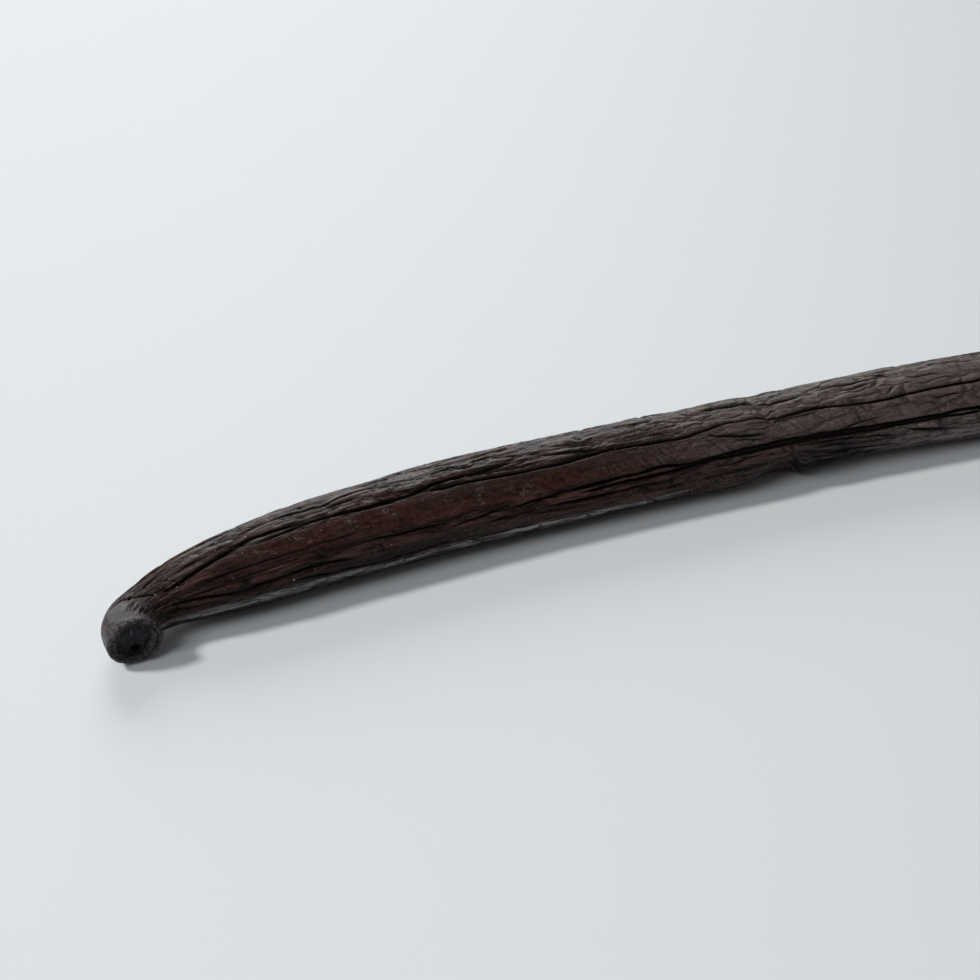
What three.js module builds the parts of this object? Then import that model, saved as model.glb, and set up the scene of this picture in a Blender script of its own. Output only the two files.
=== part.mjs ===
import * as THREE from 'three';

// A cured vanilla pod: one solid, lying on its belly with the hooked stem end towards -X.
// Millimetres, +Z up. Two words place everything on the skin:
//   along  distance from the stem scar, measured on the pod's middle line
//   round  angle about that line in degrees: 0 back (+Y), 90 top, 180 front (-Y), 270 underneath

// ---- Driving dimensions ----

// The middle line: x, y, height of the middle, then the pod's width and thickness there.
const STATIONS = [
  [-74.1, -7.9, 2.5, 5.15, 4.6], // stem scar
  [-74.3, -6.4, 2.6, 5.0, 4.65], // neck
  [-73.8, -5.3, 2.65, 4.9, 4.6],
  [-72.5, -4.2, 2.75, 4.9, 4.7],
  [-70.5, -3.3, 3.0, 5.8, 5.0],
  [-67.5, -2.55, 3.25, 6.9, 5.9], // shoulder
  [-63.1, -1.65, 3.4, 8.1, 6.9],
  [-57.2, -0.4, 3.5, 8.9, 7.5],
  [-40.7, 2.0, 3.5, 9.85, 7.95], // body
  [-15.7, 3.25, 3.5, 9.6, 7.9],
  [14.2, 3.7, 3.55, 9.8, 8.05],
  [49.7, 0.7, 3.35, 9.3, 7.65],
  [65.5, -2.6, 3.1, 7.5, 6.5], // taper
  [74.9, -5.8, 3.1, 4.4, 4.6], // blossom end
];
const TURN_REACH = 1.6; // sections turn over this far each way, so none cross inside the hook
const ANGLES = { size: 0.018, turn: 78 }; // the pod is faintly three-sided

const COLUMNS = 52; // vertices round the pod
const ROWS = 92; // rings from the scar to the blossom end
const HOOK = { length: 9, closer: 2.2 }; // the hook's rings stand closer by this factor
const BUSY_REACH = 3; // rings also stand closer this far from each waist and swelling
const GATHER = { pull: 3.2, reach: 9 }; // a ring's vertices gather this many degrees from a fold

// The scar: a face that leans back, a rounded rim, and a pit with a hole low in it.
const SCAR = { lean: 0.06, leanReach: 2.6, roll: 0.24 };
const PIT = { halfWide: 1.45, halfTall: 1.85, aside: -0.05, drop: -0.05, depth: 0.5, dome: 0.18 };
const HOLE = { half: 0.46, aside: -0.15, drop: 1.25, depth: 1.1 };
const PIT_WALL = 0.6; // the pit's wall takes this share of the way to the rim
const NOSE = { length: 1.8, dimple: 0.3, dimpleSize: 0.35 };

// Lengthwise folds of the skin, each along a path of [along, round].
const FOLD_FADE = { length: 3, share: 0.35 }; // how far a fold fades at its ends, at most
const FOLD_POWER = 1.5;
const SHOULDER = { reach: 3.4, share: 0.12 }; // the skin also sinks a little beside a fold
const FOLDS = [
  { depth: 0.8, half: 0.5, path: [[5, 116], [7, 122.5], [10, 113], [14, 101], [17, 101], [24, 107.5],
    [30, 110], [34, 104], [39, 102.5], [42.5, 95.5]] },
  { depth: 0.8, half: 0.42, path: [[31, 110], [38, 114.5], [46, 117.5], [50, 113], [55, 115.5],
    [58.5, 117], [61, 113], [64, 109.5], [69, 115], [73, 114], [76, 118.5], [80.5, 121.5], [84, 119.5],
    [90, 118.5], [105, 118], [122, 110], [138, 113], [148, 108], [153.4, 107]] },
  { depth: 1, half: 0.5, path: [[45, 156], [50, 153], [55.7, 150], [58, 152.5], [62, 150.5], [69, 148],
    [76, 152.5], [82, 156.5], [90, 155], [104, 155], [122, 149], [136, 152]] },
  { depth: 0.85, half: 0.46, path: [[46.5, 161], [52, 158.5], [56, 158.3], [59, 156.5], [66, 154.5],
    [70, 156.3], [76, 158.6], [84, 161], [94, 163]] },
  { depth: 0.55, half: 0.46, path: [[4.5, 149], [8.5, 160], [11, 168], [12.5, 171], [16, 168.3],
    [20.5, 167.5], [25, 174]] },
  { depth: 0.35, half: 0.35, path: [[8.5, 135.5], [13, 137], [18, 138], [22, 139], [25.7, 137.5]] },
  { depth: 0.45, half: 0.38, path: [[24, 151.5], [26, 154], [30, 156], [33.5, 156.5]] },
  { depth: 0.55, half: 0.4, path: [[32, 164.5], [37.5, 159.5], [39, 155.5], [41.5, 149.5]] },
  { depth: 0.5, half: 0.38, path: [[38.5, 162], [43, 156], [47.3, 150]] },
  { depth: 0.5, half: 0.38, path: [[43.5, 97.5], [47, 103.5], [49.5, 109], [51.5, 113.5]] },
  { depth: 0.5, half: 0.4, path: [[42.5, 168], [46, 169.5], [51, 169.5], [56.8, 168]] },
  { depth: 0.45, half: 0.38, path: [[60, 118], [61.5, 122.5], [64.5, 131], [66.5, 134], [67.8, 133.5]] },
  { depth: 0.5, half: 0.42, path: [[60.3, 81.5], [65.5, 84], [68, 90.5], [69.2, 92.5], [71.5, 91],
    [73.3, 87.5]] },
  { depth: 0.6, half: 0.46, path: [[80.3, 163], [83, 171.5], [85.5, 179], [88.5, 180.5]] },
  { depth: 0.5, half: 0.4, path: [[71.5, 178], [74, 182], [78, 188], [82.5, 195.5]] },
  { depth: 0.45, half: 0.4, path: [[16.5, 180], [19.5, 182], [22, 186], [26, 189.5], [31, 188], [34, 184]] },
  { depth: 0.5, half: 0.4, path: [[97, 88], [108, 92], [119, 86], [131, 90], [144, 84], [153.2, 86]] },
  { depth: 0.5, half: 0.4, path: [[102, 138], [113, 133], [124, 131], [137, 134], [150, 129], [153.5, 128]] },
  { depth: 0.6, half: 0.46, path: [[95, 172], [106, 174], [118, 168], [132, 172], [149, 164], [153.5, 163]] },
  { depth: 0.5, half: 0.42, path: [[100, 192], [112, 188], [126, 193], [143, 187], [153.2, 190]] },
  { depth: 0.6, half: 1.5, path: [[69.7, 200], [71, 203], [73.6, 214], [76.5, 218]] },
];

// The back and the belly, by rule: folds that overlap end to end, at even angles with some play.
const REAR = { first: 205, last: 425, folds: 11, stretch: 34, depth: 0.55, half: 0.45, play: 7 };
const REAR_PLAY = { start: 0.4, end: 0.7, endMore: 0.5, least: 0.6, more: 0.6 };
const REAR_POINTS = [0, 0.33, 0.66, 1];
const REAR_ENDS = { start: 4, end: 2 }; // these folds stay this far from the two ends

// Fine lengthwise wrinkles all over, but for the smooth panel between the front's two deep folds.
const WRINKLES = { depth: 0.22, length: 9, count: 26, power: 3 };
const WANDER = { reach: 1.1, length: 13, angle: 45, count: 8 }; // how the wrinkles' lines stray
const PANEL = { from: 119, to: 143, start: 9, end: 64, fade: 6, edge: 9, left: 0.1 };
const CALM = { start: 2.5, end: 2 }; // the wrinkles fade over these lengths at the two ends

// Crosswise creases: at `along` where they start, leaning by `lean` for each 10 degrees round.
const CREASE_EDGE = 10;
const CREASES = [
  { along: 0.8, from: 88, to: 126, lean: 0.5, depth: 0.12, half: 0.4 },
  { along: 2.2, from: 44, to: 121, lean: 0.46, depth: 0.2, half: 0.5 },
  { along: 66.9, from: 66, to: 118, lean: 0.14, depth: 0.35, half: 0.6 },
  { along: 69.2, from: 118, to: 148, lean: -0.25, depth: 0.2, half: 0.6 },
  { along: 77.8, from: 122, to: 140, lean: -0.1, depth: 0.12, half: 0.5 },
  { along: 80.9, from: 126, to: 153, lean: 0.35, depth: 0.18, half: 0.6 },
];

// Where the pod is nipped in, and where the belly swells out again sharply behind it.
const WAISTS = [
  { along: 68, half: 2.2, depth: 0.15 },
];
const SWELLS = [
  { along: 64.5, rise: 5, fall: 4, round: 60, spread: 60, height: 0.12 },
  { along: 69.9, rise: 6.8, fall: 0.7, round: 208, spread: 50, height: -1.1 },
  { along: 77, rise: 6.5, fall: 24, round: 214, spread: 50, height: -0.55 },
];

const SKIN = new THREE.MeshStandardMaterial({ color: 0x2e1b18, roughness: 0.42, metalness: 0 });

// ---- Helpers ----

const radians = (degrees) => (degrees * Math.PI) / 180;
const clamp01 = (value) => Math.min(Math.max(value, 0), 1);
const ease = (value) => clamp01(value) ** 2 * (3 - 2 * clamp01(value));

/** Signed difference of two angles in degrees, within half a turn. */
function apart(a, b) {
  return ((((a - b + 180) % 360) + 360) % 360) - 180;
}

/** Smooth curve through rows [position, value, ...]: a cubic whose slopes come from the neighbours. */
function through(rows, at) {
  const last = rows.length - 1;
  let i = 0;
  while (i < last - 1 && at >= rows[i + 1][0]) i += 1;
  const slope = (k, n) => {
    const before = rows[Math.max(k - 1, 0)];
    const after = rows[Math.min(k + 1, last)];
    return (after[n] - before[n]) / (after[0] - before[0]);
  };
  const gap = rows[i + 1][0] - rows[i][0];
  const w = (at - rows[i][0]) / gap;
  return rows[i].slice(1).map((value, k) => {
    const next = rows[i + 1][k + 1];
    const bend = slope(i, k + 1) * (w - 1) + slope(i + 1, k + 1) * w;
    return value + (next - value) * w * w * (3 - 2 * w) + bend * gap * w * (w - 1);
  });
}

/** `count` places from `from` up to `to`, closer together where weight(place) is larger. */
function spread(count, from, to, weight) {
  const fine = 720;
  const sums = [0];
  for (let i = 0; i < fine; i += 1) {
    sums.push(sums[i] + weight(from + ((to - from) * (i + 0.5)) / fine));
  }
  const places = [];
  let i = 0;
  for (let k = 0; k < count; k += 1) {
    const target = (sums[fine] * k) / count;
    while (sums[i + 1] < target) i += 1;
    const part = (target - sums[i]) / (sums[i + 1] - sums[i]);
    places.push(from + ((to - from) * (i + part)) / fine);
  }
  return places;
}

/** The same random number from 0 to 1 for the same three numbers. */
function chance(a, b, seed) {
  const value = Math.sin(a * 12.9898 + b * 78.233 + seed * 37.719) * 43758.5453;
  return value - Math.floor(value);
}

/** Smooth random field from 0 to 1 that repeats every `cells` in v. */
function cloud(u, v, cells, seed) {
  const i = Math.floor(u);
  const j = Math.floor(v);
  const across = ease(u - i);
  const up = ease(v - j);
  const knot = (p, q) => chance(p, ((q % cells) + cells) % cells, seed);
  const low = knot(i, j) + (knot(i + 1, j) - knot(i, j)) * across;
  const high = knot(i, j + 1) + (knot(i + 1, j + 1) - knot(i, j + 1)) * across;
  return low + (high - low) * up;
}

// ---- The middle line ----

/** STATIONS with the straight distance from the first one put before each row. */
function withDistance(stations) {
  let distance = 0;
  return stations.map((row, i) => {
    if (i > 0) {
      distance += Math.hypot(...[0, 1, 2].map((k) => row[k] - stations[i - 1][k]));
    }
    return [distance, ...row];
  });
}

const LINE = withDistance(STATIONS);

/** Rows of [along, distance between stations], fine enough to read one from the other. */
function measureLine(steps = 1500) {
  const span = LINE[LINE.length - 1][0];
  const rows = [];
  let along = 0;
  let before = through(LINE, 0);
  for (let i = 0; i <= steps; i += 1) {
    const here = through(LINE, (span * i) / steps);
    along += Math.hypot(here[0] - before[0], here[1] - before[1], here[2] - before[2]);
    rows.push([along, (span * i) / steps]);
    before = here;
  }
  return rows;
}

const MEASURE = measureLine();
const LENGTH = MEASURE[MEASURE.length - 1][0];

/** Middle, width and thickness at a distance along the pod. */
function lineAt(along) {
  const target = THREE.MathUtils.clamp(along, 0, LENGTH);
  let low = 0;
  let high = MEASURE.length - 1;
  while (high - low > 1) {
    const half = (low + high) >> 1;
    if (MEASURE[half][0] <= target) low = half;
    else high = half;
  }
  const [a, b] = [MEASURE[low], MEASURE[high]];
  const [x, y, z, wide, tall] = through(LINE, a[1] + ((b[1] - a[1]) * (target - a[0])) / (b[0] - a[0]));
  return { middle: new THREE.Vector3(x, y, z), wide, tall };
}

/** The section's own directions: ahead to the blossom end, side to the back, and up. */
function frameAt(along) {
  const here = lineAt(along);
  const ahead = lineAt(along + TURN_REACH).middle.sub(lineAt(along - TURN_REACH).middle).normalize();
  const side = new THREE.Vector3(0, 0, 1).cross(ahead).normalize();
  const up = new THREE.Vector3().crossVectors(ahead, side);
  return { ...here, ahead, side, up };
}

// ---- Relief of the skin, as depths in millimetres ----

/** The folds of the back and the belly, worked out from REAR. */
function rearFolds() {
  const folds = [];
  const runs = Math.ceil(LENGTH / REAR.stretch);
  for (let i = 0; i < REAR.folds; i += 1) {
    const round = REAR.first + ((REAR.last - REAR.first) * (i + 0.5)) / REAR.folds;
    for (let k = 0; k < runs; k += 1) {
      const play = (n) => REAR.play * (2 * chance(i, k, n) - 1);
      const first = (k - REAR_PLAY.start * chance(i, k, 1)) * REAR.stretch;
      const last = (k + REAR_PLAY.end + REAR_PLAY.endMore * chance(i, k, 2)) * REAR.stretch;
      const start = Math.max(first, REAR_ENDS.start);
      const end = Math.min(last, LENGTH - REAR_ENDS.end);
      const path = REAR_POINTS.map((part, n) => [start + (end - start) * part, round + play(n + 3)]);
      const depth = REAR.depth * (REAR_PLAY.least + REAR_PLAY.more * chance(i, k, 9));
      folds.push({ depth, half: REAR.half, path });
    }
  }
  return folds;
}

const ALL_FOLDS = [...FOLDS, ...rearFolds()];

/** Where a fold runs at a distance along the pod, and how much of its depth it has there. */
function foldAt(fold, along) {
  const first = fold.path[0][0];
  const last = fold.path[fold.path.length - 1][0];
  if (along <= first || along >= last) return null;
  const fade = Math.min(FOLD_FADE.length, FOLD_FADE.share * (last - first));
  const share = ease(Math.min(along - first, last - along) / fade);
  return { round: through(fold.path, along)[0], depth: fold.depth * share, half: fold.half };
}

/** Depth of one fold at a place that is `away` millimetres to its side. */
function foldDepth({ depth, half }, away) {
  const cut = clamp01(1 - away / half) ** FOLD_POWER;
  const shoulder = clamp01(1 - away / (half * SHOULDER.reach)) ** 2;
  return depth * ((1 - SHOULDER.share) * cut + SHOULDER.share * shoulder);
}

/** 1 inside an angle range and 0 outside it, easing over `edge` degrees. */
function within(round, from, to, edge) {
  const half = (to - from) / 2;
  return ease((half + edge - Math.abs(apart(round, from + half))) / edge);
}

function wrinkleDepth(along, round) {
  const stray = 2 * cloud(along / WANDER.length, round / WANDER.angle, WANDER.count, 21) - 1;
  const turn = (round / 360) * WRINKLES.count + WANDER.reach * stray;
  const crest = 1 - Math.abs(2 * cloud(along / WRINKLES.length, turn, WRINKLES.count, 5) - 1);
  const lengthwise = ease((along - PANEL.start) / PANEL.fade) * ease((PANEL.end - along) / PANEL.fade);
  const inPanel = lengthwise * within(round, PANEL.from, PANEL.to, PANEL.edge);
  return WRINKLES.depth * crest ** WRINKLES.power * (1 - (1 - PANEL.left) * inPanel);
}

function creaseDepth(along, round) {
  return CREASES.reduce((deepest, crease) => {
    const line = crease.along + (crease.lean * apart(round, crease.from)) / 10;
    const depth = crease.depth * clamp01(1 - Math.abs(along - line) / crease.half)
      * within(round, crease.from, crease.to, CREASE_EDGE);
    return Math.max(deepest, depth);
  }, 0);
}

function waistDepth(along) {
  return WAISTS.reduce((sum, waist) => {
    const near = 1 - Math.abs(along - waist.along) / waist.half;
    return sum + waist.depth * ease(near);
  }, 0);
}

function swellHeight(along, round) {
  return SWELLS.reduce((sum, swell) => {
    const past = along - swell.along;
    const profile = past < 0 ? ease(1 + past / swell.rise) : ease(1 - past / swell.fall);
    return sum + swell.height * profile * ease(1 - Math.abs(apart(round, swell.round)) / swell.spread);
  }, 0);
}

/** How far the skin lies inside the plain oval section. */
function relief(along, round, folds, radius) {
  const deepest = folds.reduce((most, fold) => {
    const away = Math.abs(radians(apart(round, fold.round))) * radius;
    return Math.max(most, foldDepth(fold, away));
  }, 0);
  const ends = ease(along / CALM.start) * ease((LENGTH - along) / CALM.end);
  const marks = Math.max(deepest, creaseDepth(along, round)) + wrinkleDepth(along, round) * ends;
  return marks + waistDepth(along) - swellHeight(along, round);
}

// ---- Rings of vertices ----

/** The angles of a ring's vertices, which gather where folds run. */
function ringAngles(folds) {
  const pull = (round) => folds.reduce((sum, fold) => {
    const near = clamp01(1 - Math.abs(apart(round, fold.round)) / GATHER.reach);
    return sum + GATHER.pull * fold.depth * near;
  }, 1);
  return spread(COLUMNS, 0, 360, pull);
}

/** A ring of the skin. A cap's rings are narrowed and moved from their own section. */
function ring(along, { wide = 1, tall = 1, aside = 0, drop = 0, ahead = 0 } = {}) {
  const frame = frameAt(along);
  const radius = (frame.wide + frame.tall) / 4;
  const leaning = SCAR.lean * (1 - ease(along / SCAR.leanReach));
  const folds = ALL_FOLDS.map((fold) => foldAt(fold, along)).filter(Boolean);
  return ringAngles(folds).map((round) => {
    const angle = radians(round);
    const angled = 1 + ANGLES.size * Math.cos(3 * radians(round - ANGLES.turn));
    const facing = new THREE.Vector2(Math.cos(angle) / frame.wide, Math.sin(angle) / frame.tall).normalize();
    const depth = relief(along, round, folds, radius);
    const across = ((frame.wide / 2) * Math.cos(angle) * angled - facing.x * depth) * wide + aside;
    const height = ((frame.tall / 2) * Math.sin(angle) * angled - facing.y * depth) * tall - drop;
    const point = frame.middle.clone();
    point.addScaledVector(frame.side, across);
    point.addScaledVector(frame.up, height);
    point.addScaledVector(frame.ahead, ahead + leaning * height);
    point.z = Math.max(point.z, 0);
    return point;
  });
}

/** A ring of the scar's face, part of the way from one loop to another. */
function faceRing(from, to, part, ahead) {
  const loop = { ahead };
  for (const key of ['wide', 'tall', 'aside', 'drop']) loop[key] = from[key] + (to[key] - from[key]) * part;
  return ring(0, loop);
}

/** The stem scar, from the bottom of its hole over the pit and its wall to the rolled rim. */
function scarRings() {
  const { wide, tall } = lineAt(0);
  const hole = { ...HOLE, wide: (2 * HOLE.half) / wide, tall: (2 * HOLE.half) / tall };
  const bottom = { ...hole, wide: 0, tall: 0 };
  const pit = { ...PIT, wide: (2 * PIT.halfWide) / wide, tall: (2 * PIT.halfTall) / tall };
  const inner = 1 - (4 * SCAR.roll) / wide;
  const rim = { wide: inner, tall: inner, aside: 0, drop: 0 };
  const rings = [
    ...[0.6, 0.85].map((part) => faceRing(bottom, hole, part, PIT.depth + HOLE.depth * (1 - part ** 3))),
    ...[0, 0.5].map((part) => faceRing(hole, pit, part, PIT.depth - PIT.dome * Math.sin(part * Math.PI))),
    ...[0, 0.3, 0.6].map((part) => faceRing(pit, rim, part, PIT.depth * (1 - ease(part / PIT_WALL)))),
  ];
  for (const turn of [180, 135, 90, 45]) {
    const share = 1 - ((2 * SCAR.roll) / wide) * (1 - Math.cos(radians(turn)));
    rings.push(ring(0, { wide: share, tall: share, ahead: -SCAR.roll * Math.sin(radians(turn)) }));
  }
  return rings;
}

/** The blunt blossom end, with a shallow dimple in its middle. */
function noseRings() {
  return [20, 40, 58, 72, 83].map((turn) => {
    const share = Math.cos(radians(turn));
    const dimple = NOSE.dimple * ease(1 - share / NOSE.dimpleSize);
    const ahead = NOSE.length * Math.sin(radians(turn)) - dimple;
    return ring(LENGTH, { wide: share, tall: share, ahead });
  });
}

function bodyRings() {
  const busy = [...WAISTS, ...SWELLS].map((place) => place.along);
  const closeness = (along) => {
    const hook = 1 + (HOOK.closer - 1) * ease((HOOK.length - along) / BUSY_REACH);
    return busy.reduce((sum, place) => sum + ease(1 - Math.abs(along - place) / BUSY_REACH), hook);
  };
  return [...spread(ROWS - 1, 0, LENGTH, closeness), LENGTH].map((along) => ring(along));
}

/** Skins rings of equal count into a closed body, with one vertex in the middle of each end. */
function closeRings(rings) {
  const centre = (corners) => {
    const sum = corners.reduce((total, corner) => total.add(corner), new THREE.Vector3());
    return sum.divideScalar(corners.length);
  };
  const points = [centre(rings[0]), ...rings.flat(), centre(rings[rings.length - 1])];
  const index = [];
  const at = (row, column) => 1 + row * COLUMNS + (column % COLUMNS);
  for (let c = 0; c < COLUMNS; c += 1) {
    index.push(0, at(0, c + 1), at(0, c));
    index.push(points.length - 1, at(rings.length - 1, c), at(rings.length - 1, c + 1));
    for (let r = 0; r < rings.length - 1; r += 1) {
      const [a, b, d, e] = [at(r, c), at(r, c + 1), at(r + 1, c), at(r + 1, c + 1)];
      const shorter = points[a].distanceTo(points[e]) < points[b].distanceTo(points[d]);
      if (shorter) index.push(a, e, d, a, b, e);
      else index.push(a, b, d, b, e, d);
    }
  }
  const geometry = new THREE.BufferGeometry().setFromPoints(points);
  geometry.setIndex(index);
  geometry.computeVertexNormals();
  return geometry;
}

const pod = new THREE.Mesh(closeRings([...scarRings(), ...bodyRings(), ...noseRings()]), SKIN);
pod.name = 'pod';

const model = new THREE.Group();
model.add(pod);

export default model;
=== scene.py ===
"""A cured vanilla pod on a pale surface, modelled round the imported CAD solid.

Sizes are in millimetres unless a name says otherwise; the meshes are written in metres.
Two words place everything on the skin:
  along  distance from the stem scar, measured on the pod's middle line
  round  angle about that line in degrees: 0 back (+Y), 90 top, 180 front (-Y), 270 underneath
"""

import math
from types import SimpleNamespace as Table

import bpy
import numpy as np
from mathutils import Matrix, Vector


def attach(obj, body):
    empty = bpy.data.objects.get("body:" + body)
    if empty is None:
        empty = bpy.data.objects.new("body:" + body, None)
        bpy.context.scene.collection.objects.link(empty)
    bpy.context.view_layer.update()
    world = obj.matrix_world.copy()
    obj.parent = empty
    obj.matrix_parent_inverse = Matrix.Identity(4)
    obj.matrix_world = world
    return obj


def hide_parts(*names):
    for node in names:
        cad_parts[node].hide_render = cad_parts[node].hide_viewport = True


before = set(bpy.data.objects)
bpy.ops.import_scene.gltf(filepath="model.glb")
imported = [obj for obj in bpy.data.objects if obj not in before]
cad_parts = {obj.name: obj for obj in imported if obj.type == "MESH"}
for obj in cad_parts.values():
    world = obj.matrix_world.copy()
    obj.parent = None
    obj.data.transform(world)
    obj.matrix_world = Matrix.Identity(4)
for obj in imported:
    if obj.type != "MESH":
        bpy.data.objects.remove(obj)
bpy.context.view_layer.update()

MM = 0.001

# ---- Driving dimensions, as in the CAD solid ----

# The middle line: x, y, height of the middle, then the pod's width and thickness there.
STATIONS = np.array([
    [-74.1, -7.9, 2.5, 5.15, 4.6],
    [-74.3, -6.4, 2.6, 5.0, 4.65],
    [-73.8, -5.3, 2.65, 4.9, 4.6],
    [-72.5, -4.2, 2.75, 4.9, 4.7],
    [-70.5, -3.3, 3.0, 5.8, 5.0],
    [-67.5, -2.55, 3.25, 6.9, 5.9],
    [-63.1, -1.65, 3.4, 8.1, 6.9],
    [-57.2, -0.4, 3.5, 8.9, 7.5],
    [-40.7, 2.0, 3.5, 9.85, 7.95],
    [-15.7, 3.25, 3.5, 9.6, 7.9],
    [14.2, 3.7, 3.55, 9.8, 8.05],
    [49.7, 0.7, 3.35, 9.3, 7.65],
    [65.5, -2.6, 3.1, 7.5, 6.5],
    [74.9, -5.8, 3.1, 4.4, 4.6],
])
TURN_REACH = 1.6
LINE_PARTS = 1500
ANGLES = Table(count=3, size=0.018, turn=78)

# The scar: a face that leans back, a rounded rim, and a pit with a hole low in it.
SCAR = Table(lean=0.06, lean_reach=2.6, roll=0.24, swell=0.3)
PIT = Table(half_wide=1.45, half_tall=1.85, aside=-0.05, drop=-0.05, depth=0.5, dome=0.18, wall=0.6)
HOLE = Table(half=0.46, bottom=0.4, aside=-0.15, drop=1.25, depth=1.1)
# Lumps of the scar's dried face: how many to a millimetre, height, seed.
LUMPS = [(1.8, 0.26, 3), (4.5, 0.16, 8)]
LUMPS_SHIFT = 40
# The blossom end, rounded up to its last ring at an angle in degrees.
NOSE = Table(length=1.8, last=86, dimple=0.3, dimple_size=0.35)

# The mesh: about 199,000 triangles.
COLUMNS = 192
ROWS = Table(hole=5, pit=9, rim=7, roll=11, body=473, nose=14)
# In the tables `along` is start, rise, end, fall and `round` is from, to, edge; a pair is the least
# and what can come on top.
# Rings stand closer in the hook and at the pinch, and farther apart in the far part.
ROW_HOOK = Table(more=1.3, end=9, fade=3)
ROW_PINCH = Table(more=0.35, along=(50, 6, 92, 6))
ROW_FAR = Table(less=0.35, start=90, fade=8)
ROW_PARTS = 3000
# A ring's vertices stand closer on the shown side and in the folds, and farther apart underneath.
COLUMN_SHOWN = Table(more=0.35, round=(45, 210, 12))
COLUMN_UNDER = Table(less=0.4, round=(235, 325, 12))
COLUMN_FOLD = Table(more=2.0, reach=4, full_depth=0.4)
COLUMN_STEP = 0.5

# A fold fades over a length at its ends, or over a share of itself if it is short.
FOLD_FADE = Table(length=3.0, share=0.35)
FOLD_POWER = 1.1
SHOULDER = Table(reach=4.0, share=0.10)
# How this mesh's folds differ from the solid's: narrower, shallower and a little uneven.
FOLD_FINISH = Table(half=0.44, least_half=0.13, depth=0.55, lip=0.7, dark_depth=0.22)
FOLD_PLAY = Table(turn=0.9, length=1.9, seed=41)
FOLD_UNEVEN = Table(share=(0.7, 0.6), length=3.1, seed=47)
# A lip's middle and width, in half widths of its fold.
LIP = Table(away=2.2, width=1.3)
NO_REPEAT = 997

# Lengthwise folds: depth, half width, height of the lip on the side of smaller angles, then the
# points of the path: along, round.
MAIN_FOLDS = [
    (0.8, 0.5, 0.06, [5, 116], [7, 122.5], [10, 113], [14, 101], [17, 101], [24, 107.5], [30, 110],
     [34, 104], [39, 102.5], [42.5, 95.5]),
    (0.8, 0.38, 0.05, [31, 110], [38, 114.5], [46, 117.5], [50, 113], [55, 115.5], [58.5, 117], [61, 113],
     [64, 109.5], [69, 115], [73, 114], [76, 118.5], [80.5, 121.5], [84, 119.5], [90, 118.5], [105, 118],
     [122, 110], [138, 113], [148, 108], [157, 106]),
    (1.0, 0.46, 0.1, [45, 156], [50, 153], [55.7, 150], [58, 152.5], [62, 150.5], [69, 148], [76, 152.5],
     [82, 156.5], [90, 155], [104, 155], [122, 149], [136, 152]),
    (0.85, 0.44, 0.02, [46.5, 161], [52, 158.5], [56, 158.3], [59, 156.5], [66, 154.5], [70, 156.3],
     [76, 158.6], [84, 161], [94, 163]),
    (0.8, 0.78, 0, [56.5, 153.5], [62, 153], [69, 151.5], [74, 154], [80, 156.5]),
    (0.55, 0.46, 0.05, [4.5, 149], [8.5, 160], [11, 168], [12.5, 171], [16, 168.3], [20.5, 167.5],
     [25, 174]),
    (0.35, 0.28, 0.02, [8.5, 135.5], [13, 137], [18, 138], [22, 139], [25.7, 137.5]),
    (0.45, 0.38, 0.03, [24, 151.5], [26, 154], [30, 156], [33.5, 156.5]),
    (0.55, 0.38, 0.04, [32, 164.5], [37.5, 159.5], [39, 155.5], [41.5, 149.5]),
    (0.5, 0.34, 0.04, [38.5, 162], [43, 156], [47.3, 150]),
    (0.5, 0.34, 0.04, [43.5, 97.5], [47, 103.5], [49.5, 109], [51.5, 113.5]),
    (0.5, 0.38, 0.03, [42.5, 168], [46, 169.5], [51, 169.5], [56.8, 168]),
    (0.45, 0.34, 0.05, [60, 118], [61.5, 122.5], [64.5, 131], [66.5, 134], [67.8, 133.5]),
    (0.5, 0.4, 0.05, [60.3, 81.5], [65.5, 84], [68, 90.5], [69.2, 92.5], [71.5, 91], [73.3, 87.5]),
    (0.6, 0.44, 0.05, [80.3, 163], [83, 171.5], [85.5, 179], [88.5, 180.5]),
    (0.5, 0.36, 0.03, [71.5, 178], [74, 182], [78, 188], [82.5, 195.5]),
    (0.45, 0.36, 0.03, [16.5, 180], [19.5, 182], [22, 186], [26, 189.5], [31, 188], [34, 184]),
    (0.5, 0.4, 0.04, [97, 88], [108, 92], [119, 86], [131, 90], [144, 84], [157, 86]),
    (0.5, 0.4, 0.04, [102, 138], [113, 133], [124, 131], [137, 134], [150, 129], [157.5, 127]),
    (0.6, 0.44, 0.05, [95, 172], [106, 174], [118, 168], [132, 172], [149, 164], [157.5, 162]),
    (0.5, 0.4, 0.04, [100, 192], [112, 188], [126, 193], [143, 187], [157, 190]),
]

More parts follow.
